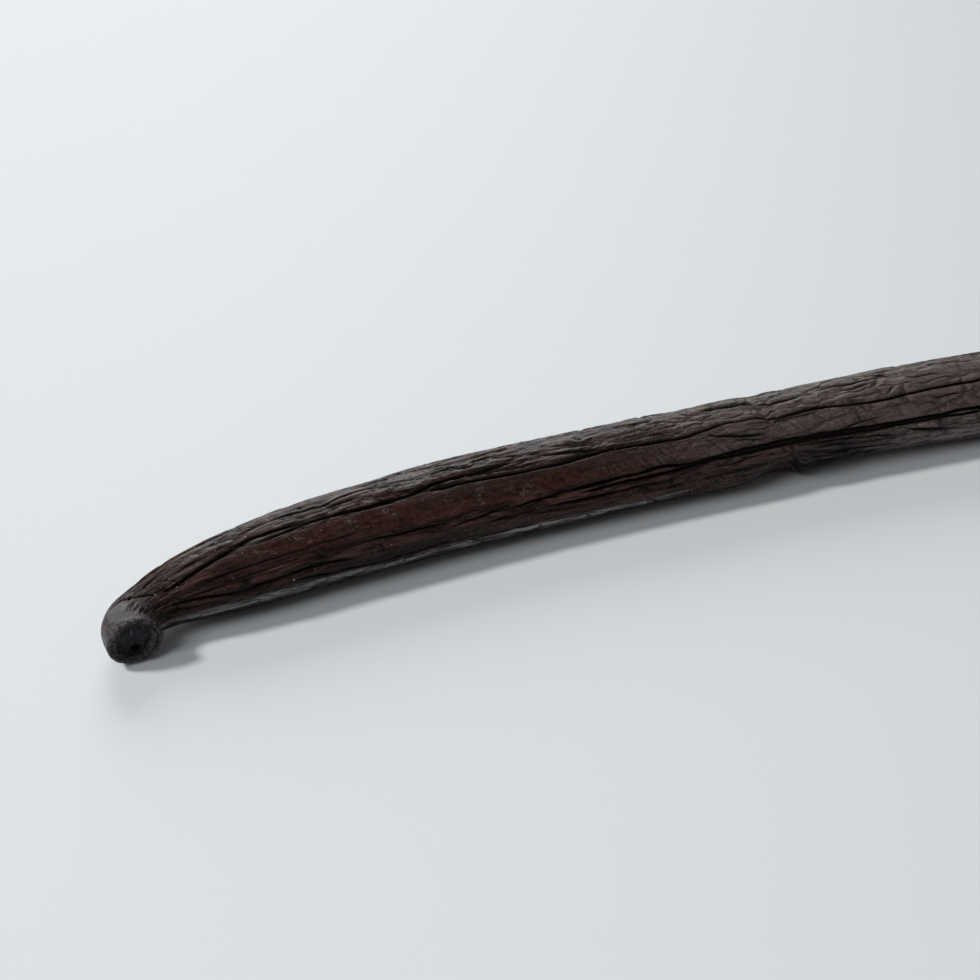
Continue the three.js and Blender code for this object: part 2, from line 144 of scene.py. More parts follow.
# Finer folds that only this mesh is fine enough to hold.
FINE_FOLDS = [
    (0.4, 0.26, 0.04, [14.5, 108], [17, 110], [19.5, 108.5], [22, 106.5]),
    (0.35, 0.26, 0.02, [36, 107], [39, 108], [42, 110], [45.5, 106]),
    (0.3, 0.24, 0.02, [50.5, 100.5], [53.5, 102], [56, 105], [59, 107.5]),
    (0.25, 0.22, 0.02, [50, 107], [52, 110], [55, 112.5]),
    (0.22, 0.22, 0.02, [62.5, 131], [65, 138.5], [67.5, 144.5]),
    (0.32, 0.24, 0.04, [73, 149.5], [75, 148.5], [76.5, 145.5], [78.5, 144], [80.7, 144.5]),
    (0.3, 0.24, 0.02, [36, 170], [40, 169], [43.5, 168]),
    (0.4, 0.28, 0.03, [24, 193], [29, 195], [33, 196], [38, 192.5], [43, 194], [47, 195.5], [50.5, 198]),
    (0.3, 0.26, 0.02, [12.5, 180], [15, 186], [17, 190], [19, 194]),
    (0.35, 0.24, 0.04, [13.8, 88], [16, 85], [18, 83.5], [22, 86], [25.5, 82.5], [29.7, 83.5]),
    (0.3, 0.22, 0.03, [22.3, 92], [24.5, 90.5], [27, 93]),
    (0.35, 0.24, 0.03, [32.5, 88.5], [35.5, 87], [37, 92.5], [38.7, 87.5]),
    (0.3, 0.22, 0.02, [34.3, 80.5], [36.3, 86], [37.2, 92]),
    (0.3, 0.22, 0.02, [37.2, 86], [39, 84.5], [40.7, 81.5]),
    (0.4, 0.3, 0.05, [72.8, 85], [74.5, 86.5], [76, 87.3], [81.5, 88.5]),
    (0.3, 0.26, 0.04, [75.4, 92], [77, 96.5], [78.3, 96], [80, 94.3]),
    (0.35, 0.26, 0.03, [79.6, 75], [81, 84], [82, 89]),
    (0.3, 0.26, 0.03, [82.5, 92], [84.5, 97], [87.3, 101]),
    (0.25, 0.22, 0.02, [58, 84], [59.5, 87], [61.3, 87.5]),
    (0.4, 0.26, 0.03, [69, 157.5], [70.5, 161], [74, 163.5], [77.5, 168.5], [81.3, 173.5]),
    (0.4, 0.26, 0.03, [70.3, 164.5], [73, 169], [77, 174.5], [81.7, 178.3]),
    (0.35, 0.26, 0.03, [70, 180], [73, 186], [76.7, 194]),
    (0.3, 0.24, 0.02, [69, 170], [71.5, 174], [74.3, 177.5]),
    (0.3, 0.24, 0.03, [53.5, 176], [56, 180], [57.7, 177], [59, 173]),
    (0.35, 0.28, 0.05, [7.3, 101.5], [9, 98.5], [11, 97.5], [13, 95], [15.2, 92]),
    (0.35, 0.28, 0.04, [3.9, 93], [4.8, 88.5], [6, 84], [7.3, 77], [8.7, 66]),
    (0.25, 0.22, 0.03, [9, 154], [11.5, 149.5], [14, 147.5], [17, 150]),
    (0.22, 0.22, 0.02, [11.5, 158], [15, 155], [19, 156]),
    (0.22, 0.22, 0.02, [62.8, 117.5], [65, 117.3], [67, 118.3], [72, 119.5], [75, 121.5]),
    (0.25, 0.24, 0.02, [84, 129], [85.5, 132], [87, 131], [88.7, 131.5]),
    (0.28, 0.24, 0.03, [60, 167], [62, 165], [65, 161.5], [67.5, 157.8]),
    (0.28, 0.24, 0.03, [60, 179], [63, 178], [66, 176.5], [69, 173.5]),
    (0.32, 0.24, 0.03, [96, 102], [106, 106], [118, 99], [129, 101]),
    (0.3, 0.24, 0.03, [104, 126], [115, 123], [127, 121], [141, 122]),
    (0.35, 0.26, 0.03, [93, 163], [103, 164], [114, 159], [128, 161], [141, 158]),
    (0.3, 0.24, 0.03, [110, 145], [121, 141], [133, 143], [146, 140]),
    (0.3, 0.24, 0.03, [90, 181], [101, 183], [114, 178], [127, 182], [139, 179]),
    (0.3, 0.24, 0.03, [108, 77], [119, 74], [132, 78], [147, 74]),
    (1.4, 1.0, 0, [69.9, 187], [71, 189], [72.5, 197], [74.4, 207], [77, 211], [80, 209]),
    (1.1, 3.4, 0, [69.7, 200], [71, 203], [73.6, 214], [76.5, 218]),
    (0.16, 0.2, 0.05, [0.8, 88], [1.6, 91], [2.6, 97]),
    (0.2, 0.18, 0.05, [0.6, 95], [2.0, 98], [3.5, 103]),
    (0.16, 0.2, 0.05, [1.0, 104], [1.8, 108], [3.1, 114]),
    (0.24, 0.18, 0.05, [0.5, 115], [1.8, 121], [3.4, 126]),
    (0.2, 0.18, 0.04, [1.0, 126], [2.3, 131], [3.9, 134]),
    (0.36, 0.26, 0.1, [2.2, 44], [3.0, 78], [3.7, 98], [5.2, 116], [5.9, 121]),
]

# Folds of the back and the belly: rows of them round the pod, in stretches that overlap.
REAR = Table(first=205, last=425, folds=11, start=4, stretch=34, depth=0.55, half=0.45, lip=0.04)
REAR_PLAY = Table(turn=7, early=0.4, late=(0.7, 0.5), depth=(0.6, 0.6))
REAR_POINTS = (0, 0.33, 0.66, 1)
PAST_TIP = 3

# Wrinkles that branch and join: the CAD solid's, sharpened, and finer ones. `dark` is how black their
# painted shade is.
WRINKLES = Table(depth=0.18, length=9.0, count=26, wander=1.1, sway=13, power=7.0, dark=0.5, seed=5)
FINE_WRINKLES = Table(depth=0.10, length=8.0, count=48, wander=1.9, sway=13, power=4.5, dark=0.35, seed=31)
SWAGS = Table(height=0.16, length=7.0, count=15, seed=71)

# Nets of cracks round long cells, and the flat facets of the crumpled stretch.
CELLS = Table(depth=0.15, length=7.0, count=30, wander=0.9, sway=9, edge=0.12, power=1.5, dark=0.55, seed=57)
SMALL_CELLS = Table(
    depth=0.05, length=3.2, count=54, wander=1.3, sway=9, edge=0.18, power=1.5, dark=0.3, seed=83,
)
FACETS = Table(depth=0.14, length=3.4, count=12, wander=0.4, sway=9, edge=0.6, power=1, least=0.15, seed=29)
WANDER = Table(turn=45, seed=16)
CELL_MARGIN = 0.1

# The smooth panel of the front, and the calmer front of the crumpled stretch to its right.
PANEL = Table(along=(9, 6, 64, 6), round=(119, 143, 9), left=0.10)
CALM_FRONT = Table(along=(56, 6, 112, 14), round=(92, 150, 10), left=0.25)
# Wrinkles fade in over the neck and out over the blossom end.
CALM_ENDS = Table(neck=6.0, tip=5)

CREASE_EDGE = 9
CREASE_REACH = 6
LEAN_STEP = 10
# Crosswise creases: along, from, to, lean for each 10 degrees, depth, half width.
CREASES = [
    (66.9, 66, 118, 0.14, 0.28, 0.45), (68.5, 70, 118, 0.02, 0.22, 0.35),
    (69.2, 118, 148, -0.25, 0.16, 0.4), (77.8, 122, 140, -0.1, 0.1, 0.3),
    (79.8, 94, 112, 0.05, 0.12, 0.3), (80.9, 126, 153, 0.35, 0.14, 0.4),
    (69.3, 160, 200, 0.18, 0.32, 0.22), (69.9, 168, 204, 0.38, 0.26, 0.22),
]
# Fine creases in rows: first along, step, count, from, to, lean, depth, half width.
CREASE_ROWS = [
    (53.6, 0.85, 9, 121, 150, 0.65, 0.1, 0.22), (54.4, 0.75, 6, 84, 104, 0.35, 0.08, 0.22),
    (56.8, 0.5, 6, 178, 200, 0.5, 0.11, 0.18), (65.6, 0.55, 5, 92, 116, 0.15, 0.11, 0.22),
    (66.6, 0.6, 6, 121, 140, 0.3, 0.12, 0.24), (8.9, 2.7, 3, 74, 90, 0.4, 0.12, 0.28),
]
# How creases of a row differ: by these shares of the step, the length, the lean and the depth.
CREASE_PLAY = Table(step=0.5, first=0.3, last=0.5, lean=(0.7, 0.6), depth=(0.6, 0.8), seed=21)
# Pale scuffs across the panel: along, from, to, lean for each 10 degrees.
SCUFFS = [
    (14.7, 118, 131, 1.4), (18.2, 116, 131, 1.1), (24.3, 121, 136, 0.7), (27.8, 120, 131, 0.6),
    (33.7, 127, 135, 0.6), (37.4, 121, 146, -0.1), (42.2, 134, 149, -0.8),
]
SCUFF_MARK = Table(half=0.65, edge=5, height=0.03)

# Pale grains that stick to the skin: along, round, radius; then the loose ones' number and spread.
GRAINS = [
    (5.3, 117, 0.1), (7.5, 127, 0.06), (8.5, 124, 0.06), (11.2, 95, 0.07), (11.8, 95, 0.06),
    (13.4, 110, 0.06), (14.0, 115, 0.06), (15.0, 93, 0.1), (16.7, 101, 0.06), (16.6, 131, 0.05),
    (17.4, 177, 0.14), (18.9, 123, 0.05), (19.7, 172, 0.06), (21.3, 110, 0.06), (23.5, 112, 0.05),
    (24.0, 115, 0.05), (24.6, 104, 0.05), (26.3, 106, 0.05), (28.5, 130, 0.05), (29.3, 114, 0.05),
    (31.0, 156, 0.06), (31.6, 122, 0.05), (32.8, 111, 0.05), (39.4, 108, 0.05),
]
LOOSE_GRAINS = Table(count=150, radius=(0.022, 0.035), power=3, place=(1, 92), gather=1.4, angle=(70, 115))
GRAIN_PLAY = Table(reach=(0.7, 0.6), seed=91)

# The map to bake on: its margin, and how much of it each end's fan takes.
BAKE_EDGE = 0.008
BAKE_FAN = 0.7

WAISTS = [(68, 2.2, 0.15)]  # along, half, depth
# Swellings and hollows: along, rise, fall, round, spread, height.
SWELLS = [
    (64.5, 5, 4, 60, 60, 0.12),
    (69.9, 6.8, 0.7, 208, 50, -1.1),
    (77, 6.5, 24, 214, 50, -0.55),
]

# ---- Where the scar and the neck are, for the material ----

# The rough collar behind the scar, widest at one side, with a jagged edge.
COLLAR = Table(edge=0.35, fade=0.25, share=0.9, more=1.5, turn=5, spread=42)
COLLAR_JAG = Table(size=0.3, turn=9, seed=13)
PIT_DARK = Table(least=0.75, on_rim=0.3)
# The neck's grey skin, with painted sheen on it, ends at a step: round, along. It is weaker towards the
# front.
NECK_STEP = [[40, 2.1], [78, 3.0], [98, 3.7], [116, 5.2], [135, 6.2]]
NECK = Table(round=(52, 118, 16), fade=0.35, weaker=0.5, weaker_from=80, weaker_over=34)
# A trace of the same grey with painted sheen on the skin beside the scar.
NECK_FRONT = Table(share=0.5, round=(124, 190, 20), end=5.0, fade=2.5)
# The skin's place for the material: the pod laid out straight, as a round rod of this radius.
SKIN_RADIUS = 4.4

# ---- Colours of the skin, linear ----

DARK_SKIN = (0.018, 0.0048, 0.0038)
LIGHT_SKIN = (0.104, 0.048, 0.041)
PANEL_DARK_SKIN = (0.007, 0.0015, 0.0011)
PANEL_SKIN = (0.062, 0.023, 0.018)
# Grey of random dust, and of the painted sheen on the top band near the hook.
DUST_AND_SHEEN_SKIN = (0.098, 0.078, 0.072)
DULL_DARK_SKIN = (0.074, 0.053, 0.0485)
DULL_LIGHT_SKIN = (0.13, 0.097, 0.0905)
# Grey of the neck's skin, with painted sheen on it.
NECK_GREY_AND_SHEEN = (0.106, 0.1005, 0.105)
# Painted floor reflection: a lighter grey on the lower side of the far part.
LOW_REFLECTION_SKIN = (0.21, 0.17, 0.162)
# Painted floor reflection: the pale grey rim along the bottom edge.
RIM_REFLECTION_SKIN = (0.36, 0.35, 0.364)
# Painted shade: darkens the top band from about 26 to 60 mm along.
TOP_BAND_SHADE = (0.02, 0.016, 0.0135)
# Painted shade in the folds and the fine cracks.
FURROW_SHADE = (0.0042, 0.0013, 0.001)
SCUFF = (0.16, 0.14, 0.125)
SCAR_DARK = (0.034, 0.029, 0.031)
SCAR_LIGHT = (0.112, 0.095, 0.099)
SCAR_PIT = (0.0225, 0.025, 0.03)
SCAR_GLINT = (0.4, 0.4, 0.43)
# Painted shade: near black in the hollow past the step at about 70 mm along.
HOLLOW_SHADE = (0.0025, 0.0022, 0.0022)
SHINE = {"Specular IOR Level": 0.12, "Coat Weight": 0.115, "Coat Roughness": 0.18,
         "Sheen Weight": 0.04, "Sheen Roughness": 0.35}
GRAIN_LOOKS = {"Base Color": (0.42, 0.38, 0.33), "Roughness": 0.3}
FLOOR_LOOKS = {"Base Color": (0.76, 0.79, 0.81), "Roughness": 0.55}

# ---- The skin's material ----

# Noises over the skin: share they are drawn in to along the pod, scale, detail, roughness, distortion.
NOISES = {
    "streaks": (0.14, 1.6, 6),
    "mottle": (0.55, 2.6, 6, 0.8, 0),
    "dusty": (0.5, 0.55, 5, 0.65, 0.4),
    "broad": (1, 0.22, 2),
    "broken": (1, 3.2, 3, 0.7, 0),
    "dried": (1, 2.0, 4),
    "glints": (1, 4.0, 1),
    "rough": (1, 1.4, 4),
    "ribs": (0.06, 1.0, 2, 0.5, 0),
    "lumps": (1, 2.6, 4, 0.6, 0),
    "grain": (0.6, 5.0, 3, 0.6, 0),
}
# Fine cracks: lines in the middle of a noise, the same along slanting directions, and edges of
# cells. An entry of cells is the sway's scale and reach, the share as above, and the scale.
LINES = (0.07, 1.3, 3, 0.6, 0)
SLANTS = (1, 0.9, 2, 0.55, 0.8)
SLANT = ((0.77, 0.57, 0.33), (0.10, -0.10, -0.06), (0, 0, 0))
LONG_CELLS = (0.3, 1.2, 0.08, 0.75)
CRUMPLES = (0.35, 1.6, 0.25, 0.55)
# How far from its middle a crack's painted shade shows and how dark it is, then how far it is cut and how
# deeply.
CRACKS = {
    "long_cells": (0.05, 0.9, 0.12, 1.0),
    "lines": (0.02, 0.8, 0.05, 0.8),
    "slants": (0.025, 0.6, 0.06, 1.7),
    "crumples": (0.035, 0.7, 0.11, 2.2),
}
# Where a tint or a finish lies: smooth ramps that multiply, each over a measure from low to high
# with the share at both, else 0 to 1. `ahead` is the distance along, `aside` and `above` lie across.
SHARES = {
    "red_light": [("streaks", 0.35, 0.68)],
    "panel_light": [("mottle", 0.38, 0.62)],
    "dull_light": [("mottle", 0.35, 0.68)],
    "dust": [("dusty", 0.50, 0.68, 0, 0.18)],
    # Painted sheen: the top band near the hook is tinted grey.
    "upper": [("above", 3.4, 4.3, 0, 0.56), ("ahead", 20, 34, 1, 0)],
    # Painted floor reflection on the lower side of the far part.
    "lower": [("above", 0.8, 2.6, 0.6, 0), ("ahead", 74, 82)],
    "far": [("ahead", 46, 71)],
    "below": [("above", 0.5, 2.8, 0.7, 0), ("ahead", 69, 71.5, 1, 0)],
    "rear": [("aside", 0.8, 3.0, 0, 0.28)],
    "shaded": [("above", 0, 1.3, 0.6, 0), ("ahead", 30, 60, 1, 0)],
    # Painted shade on the top band.
    "ridge": [("above", 3.0, 3.8, 0, 0.4), ("ahead", 26, 34), ("ahead", 52, 60, 1, 0)],
    # Painted floor reflection along the bottom rim, on the front side.
    "belly": [("rimward", -0.9, -0.4, 0.8, 0), ("above", -2.1, -1.4), ("aside", -3, 0, 1, 0),
              ("streaks", 0.38, 0.55, 0.3, 1)],
    "near_rim": [("ahead", 54, 60, 1, 0)],
    "far_rim": [("ahead", 80, 86, 0, 0.5)],
    # Painted shade in the hollow past the step.
    "hollow": [("ahead", 69.5, 70.3), ("ahead", 73, 83, 1, 0), ("above", 0, 1.4, 1, 0),
               ("aside", -3, 0, 1, 0), ("above", -3.6, -2.4), ("streaks", 0.42, 0.60, 1, 0.4)],
    "patches": [("broad", 0.46, 0.56), ("ahead", 46, 55, 0.3, 1), ("ahead", 64, 74, 1, 0.35)],
    "crumpled": [("ahead", 46, 71), ("above", 0.3, 1.8), ("ahead", 96, 110, 1, 0.3)],
    # Painted shade in the folds.
    "furrow": [("cut", 0.05, 0.6, 0, 0.95)],
    "scuffed": [("broken", 0.5, 0.6, 0, 0.6)],
    "scar_light": [("dried", 0.4, 0.6)],
    "scar_glint": [("glints", 0.66, 0.74, 0, 0.6)],
    "roughness": [("rough", 0.35, 0.65, 0.26, 0.42)],
}
# `rimward` is `above` with this ramp over `ahead` on top, as the pale rim of painted floor reflection sinks
# behind the neck.
RIM_RISE = (16, 24, 0, 0.3)
# How dull the back is, how much rougher the dull skin is, how free of wrinkles the panel and the
# crumpled stretch are, and how dark the painted shade in the fine cracks is.
REAR_DULL = 0.6
DULL_ROUGHER = 0.08
PANEL_FLAT = 0.8
CRUMPLED_FLAT = 0.6
CRACK_SHADE = 0.85
# Depth of the relief in the material, in metres.
BUMPS = Table(ribs=0.00035, cracks=0.0001, lumps=0.0005, grain=0.00009)

# ---- Camera, lights and floor, in degrees and metres; the floor in millimetres ----

CAMERA = Table(turn=18.0, elevation=35.0, view_angle=24.0, distance=0.225)
SENSOR_MM = 36
CLIP_START = 0.01
LOOK_AT = Vector((-0.0363, 0.0078, 0.0))
# Lights: size, power, place, colour.
LIGHTS = {
    "key": (0.22, 11.0, (-0.95, 0.28, 0.95), (1.0, 0.985, 0.96)),
    "window": (1.6, 26.0, (0.4, 2.2, 0.95), (0.96, 0.985, 1.0)),
    "side": (0.5, 2.6, (-0.65, -0.25, 0.65), (0.98, 0.99, 1.0)),
}
WORLD = {"Color": (0.95, 0.97, 1.0, 1), "Strength": 0.12}
FLOOR_HALF = 1500


# ---- Small helpers ----

def ease(value):
    value = np.clip(value, 0, 1)
    return value * value * (3 - 2 * value)


def some(least_and_more, share):
    """A pair's least, and a share of the more that can come on top."""
    return least_and_more[0] + least_and_more[1] * share


def apart(a, b):
    """Signed difference of two angles in degrees, within half a turn."""
    return (a - b + 180) % 360 - 180


def through(rows, at):
    """Smooth curve through rows [position, value, ...], the same cubic as the CAD solid's."""
    rows = np.asarray(rows, float)
    at = np.asarray(at, float)
    places, values = rows[:, 0], rows[:, 1:]
    slopes = np.empty_like(values)
    slopes[1:-1] = (values[2:] - values[:-2]) / (places[2:] - places[:-2])[:, None]
    slopes[0] = (values[1] - values[0]) / (places[1] - places[0])
    slopes[-1] = (values[-1] - values[-2]) / (places[-1] - places[-2])
    i = np.clip(np.searchsorted(places, at, side="right") - 1, 0, len(places) - 2)
    gap = (places[i + 1] - places[i])[:, None]
    w = (at - places[i])[:, None] / gap
    bend = slopes[i] * (w - 1) + slopes[i + 1] * w
    return values[i] + (values[i + 1] - values[i]) * w * w * (3 - 2 * w) + bend * gap * w * (w - 1)


def chance(a, b, seed):
    """The same random number from 0 to 1 for the same three numbers."""
    value = np.sin(a * 12.9898 + b * 78.233 + seed * 37.719) * 43758.5453
    return value - np.floor(value)


def cloud(u, v, cells, seed):
    """Smooth random field from 0 to 1 that repeats every `cells` in v."""
    i, j = np.floor(u), np.floor(v)
    across, up = ease(u - i), ease(v - j)

    def knot(p, q):
        return chance(p, np.mod(q, cells), seed)

    low = knot(i, j) + (knot(i + 1, j) - knot(i, j)) * across
    high = knot(i, j + 1) + (knot(i + 1, j + 1) - knot(i, j + 1)) * across
    return low + (high - low) * up


# ---- The middle line ----

def running(steps):
    """Sums of the steps so far, from 0."""
    return np.concatenate([[0], np.cumsum(steps)])


def distances(points):
    """Distance from the first point, measured from point to point."""
    return running(np.linalg.norm(np.diff(points, axis=0), axis=1))


LINE = np.column_stack([distances(STATIONS[:, :3]), STATIONS])
LINE_STEPS = np.linspace(0, LINE[-1, 0], LINE_PARTS + 1)
MEASURE = distances(through(LINE, LINE_STEPS)[:, :3])
LENGTH = MEASURE[-1]


def line_at(along):
    """Rows of x, y, z, width, thickness at distances along the pod."""
    return through(LINE, np.interp(np.clip(along, 0, LENGTH), MEASURE, LINE_STEPS))


def frames_at(along):
    """Middle, width, thickness and the section's directions: ahead, side, up."""
    here = line_at(along)
    ahead = line_at(along + TURN_REACH)[:, :3] - line_at(along - TURN_REACH)[:, :3]
    ahead /= np.linalg.norm(ahead, axis=1)[:, None]
    side = np.cross([0, 0, 1], ahead)
    side /= np.linalg.norm(side, axis=1)[:, None]
    return here[:, :3], here[:, 3], here[:, 4], ahead, side, np.cross(ahead, side)


# ---- Relief of the skin ----

def rear_folds():
    """The folds of the back and the belly, by the CAD solid's rule; here they also run over the tip."""
    folds = []
    for i in range(REAR.folds):
        middle = REAR.first + (REAR.last - REAR.first) * (i + 0.5) / REAR.folds
        for k in range(math.ceil(LENGTH / REAR.stretch)):
            start = max((k - REAR_PLAY.early * chance(i, k, 1)) * REAR.stretch, REAR.start)
            end = min((k + some(REAR_PLAY.late, chance(i, k, 2))) * REAR.stretch, LENGTH + PAST_TIP)
            path = [
                [start + (end - start) * part, middle + REAR_PLAY.turn * (2 * chance(i, k, n + 3) - 1)]
                for n, part in enumerate(REAR_POINTS)
            ]
            depth = REAR.depth * some(REAR_PLAY.depth, chance(i, k, 9))
            folds.append((depth, REAR.half, REAR.lip, *path))
    return folds


ALL_FOLDS = MAIN_FOLDS + rear_folds() + FINE_FOLDS


def within(turn, first, last, edge):
    """1 inside an angle range and 0 outside it, easing over `edge` degrees."""
    half = (last - first) / 2
    return ease((half + edge - np.abs(apart(turn, first + half))) / edge)


def between(along, start, rise, end, fall):
    """1 between a start and an end along the pod, easing over its rise and its fall."""
    return ease((along - start) / rise) * ease((end - along) / fall)


def on_part(along, turn, part):
    """1 on a part of the skin that a table gives by `along` and `round`, 0 off it."""
    return between(along, *part.along) * within(turn, *part.round)


def line_place(along, turn, kind):
    """Where each place lies among a kind's lines, counted round the pod; the lines wander."""
    cells = 360 // WANDER.turn
    sway = cloud(along / kind.sway, turn / WANDER.turn, cells, kind.seed + WANDER.seed)
    return turn / 360 * kind.count + kind.wander * (2 * sway - 1)


def crest_of(along, turn, kind):
    """Crests from 0 to 1 along lines that branch and join."""
    place = line_place(along, turn, kind)
    crest = 1 - np.abs(2 * cloud(along / kind.length, place, kind.count, kind.seed) - 1)
    return crest ** kind.power


def net_of(along, turn, kind):
    """1 on the cracks of an uneven net of long cells, falling to 0 inside the cells."""
    seed = kind.seed
    u, v = along / kind.length, line_place(along, turn, kind)
    i, j = np.floor(u), np.floor(v)
    nearest = second = np.full_like(turn, np.inf)
    for p in (i - 1, i, i + 1):
        for q in (j - 1, j, j + 1):
            row = np.mod(q, kind.count)
            across = p + CELL_MARGIN + (1 - 2 * CELL_MARGIN) * chance(p, row, seed) - u
            up = q + CELL_MARGIN + (1 - 2 * CELL_MARGIN) * chance(p, row, seed + 1) - v
            away = np.hypot(across, up)
            second = np.minimum(second, np.maximum(nearest, away))
            nearest = np.minimum(nearest, away)
    return np.clip(1 - (second - nearest) / kind.edge, 0, 1) ** kind.power


def rows_of(path, along):
    """The rings that a fold runs over."""
    return np.nonzero((along > path[0][0]) & (along < path[-1][0]))[0]


def fold_share(path, along):
    """How much of a fold's depth is there: it fades in and out at its ends."""
    fade = min(FOLD_FADE.length, FOLD_FADE.share * (path[-1][0] - path[0][0]))
    return ease(np.minimum(along - path[0][0], path[-1][0] - along) / fade)


def along_fold(number, along, play):
    """A smooth random number from 0 to 1 that changes along the fold of that number."""
    return cloud(along / play.length, np.full_like(along, number), NO_REPEAT, play.seed)


def fold_relief(along, turn, radius):
    """Depth of the deepest fold, height of the lips, and how far down in a cut each place is, for the
    painted shade in the folds.
    """
    deepest, lips, cuts = (np.zeros_like(turn) for _ in range(3))
    for number, (depth, half, lip, *path) in enumerate(ALL_FOLDS):
        rows = rows_of(path, along[:, 0])
        if len(rows) < 2:
            continue
        s = along[rows, 0]
        half = max(half * FOLD_FINISH.half, FOLD_FINISH.least_half)
        depth = depth * FOLD_FINISH.depth
        centre = through(path, s)[:, 0] + FOLD_PLAY.turn * (2 * along_fold(number, s, FOLD_PLAY) - 1)
        uneven = some(FOLD_UNEVEN.share, along_fold(number, s, FOLD_UNEVEN))
        share = (fold_share(path, s) * uneven)[:, None]
        slope = np.gradient(np.radians(centre), s)[:, None] * radius[rows]
        aside = np.radians(apart(turn[rows], centre[:, None])) * radius[rows] / np.hypot(1, slope)
        away = np.abs(aside)
        cut = np.clip(1 - away / half, 0, 1) ** FOLD_POWER
        shoulder = np.clip(1 - away / (half * SHOULDER.reach), 0, 1) ** 2
        shape = depth * share * ((1 - SHOULDER.share) * cut + SHOULDER.share * shoulder)
        deepest[rows] = np.maximum(deepest[rows], shape)
        dark = share * np.sqrt(cut) * min(depth / FOLD_FINISH.dark_depth, 1)
        cuts[rows] = np.maximum(cuts[rows], dark)
        crest = np.exp(-((aside + LIP.away * half) / (LIP.width * half)) ** 2)
        lips[rows] = np.maximum(lips[rows], FOLD_FINISH.lip * lip * share * crest)
    return deepest, lips, cuts


def all_creases():
    """The single creases and those in rows."""
    creases = list(CREASES)
    play = CREASE_PLAY
    for start, step, count, first, last, lean, depth, half in CREASE_ROWS:
        for k in range(count):
            more = chance(start, k, play.seed)
            shorter = (last - first) * play.first * more
            creases.append((
                start + step * (k + play.step * more), first + shorter, last - play.last * shorter,
                lean * some(play.lean, more), depth * some(play.depth, more), half,
            ))
    return creases


def crease_relief(along, turn):
    """Depth of the deepest crosswise crease."""
    deepest = np.zeros_like(turn)
    for start, first, last, lean, depth, half in all_creases():
        rows = np.nonzero(np.abs(along[:, 0] - start) < CREASE_REACH)[0]
        line = start + lean * apart(turn[rows], first) / LEAN_STEP
        shape = depth * np.clip(1 - np.abs(along[rows] - line) / half, 0, 1)
        shape *= within(turn[rows], first, last, CREASE_EDGE)
        deepest[rows] = np.maximum(deepest[rows], shape)
    return deepest


def scuff_marks(along, turn):
    """1 on the middle of a scuff, falling to 0 at its edges."""
    marks = np.zeros_like(turn)
    for start, first, last, lean in SCUFFS:
        line = start + lean * apart(turn, first) / LEAN_STEP
        near = ease(1 - np.abs(along - line) / SCUFF_MARK.half)
        marks = np.maximum(marks, near * within(turn, first, last, SCUFF_MARK.edge))
    return marks


def swell_height(along, turn):
    """How far the skin is swollen, or sunk where it is negative."""
    height = np.zeros_like(turn)
    for start, rise, fall, middle, spread, size in SWELLS:
        past = along - start
        profile = np.where(past < 0, ease(1 + past / rise), ease(1 - past / fall))
        height += size * profile * ease(1 - np.abs(apart(turn, middle)) / spread)
    return height


def relief(along, turn, radius):
    """How far the skin lies inside the plain oval section, and how deep in a cut it is, for the painted
    shade in the folds.
    """
    folds, lips, cuts = fold_relief(along, turn, radius)
    ends = between(along, 0, CALM_ENDS.neck, LENGTH + PAST_TIP, CALM_ENDS.tip)
    calm_front = on_part(along, turn, CALM_FRONT)
    strength = ends * (1 - (1 - PANEL.left) * on_part(along, turn, PANEL))
    strength = strength * (1 - (1 - CALM_FRONT.left) * calm_front)
    lines = [(kind, crest_of(along, turn, kind)) for kind in (WRINKLES, FINE_WRINKLES)]
    lines += [(kind, net_of(along, turn, kind)) for kind in (CELLS, SMALL_CELLS)]
    facets = net_of(along, turn, FACETS) * (FACETS.least + (1 - FACETS.least) * calm_front) * ends
    swag_place = turn / 360 * SWAGS.count
    swags = cloud(along / SWAGS.length, swag_place, SWAGS.count, SWAGS.seed) - 0.5
    depth = np.maximum(folds, crease_relief(along, turn)) - lips
    depth = depth + sum(kind.depth * line for kind, line in lines) * strength
    depth = depth + FACETS.depth * facets + SWAGS.height * swags * ends
    for place, half, size in WAISTS:
        depth = depth + size * ease(1 - np.abs(along - place) / half)
    darkest = np.maximum.reduce([kind.dark * line for kind, line in lines])
    cuts = np.maximum(cuts, darkest * strength)
    raised = swell_height(along, turn) + SCUFF_MARK.height * scuff_marks(along, turn)
    return depth - raised, cuts


# ---- The pod's mesh ----

HOLE_PART, PIT_PART, RIM_PART, ROLL_PART, BODY_PART, NOSE_PART = range(6)


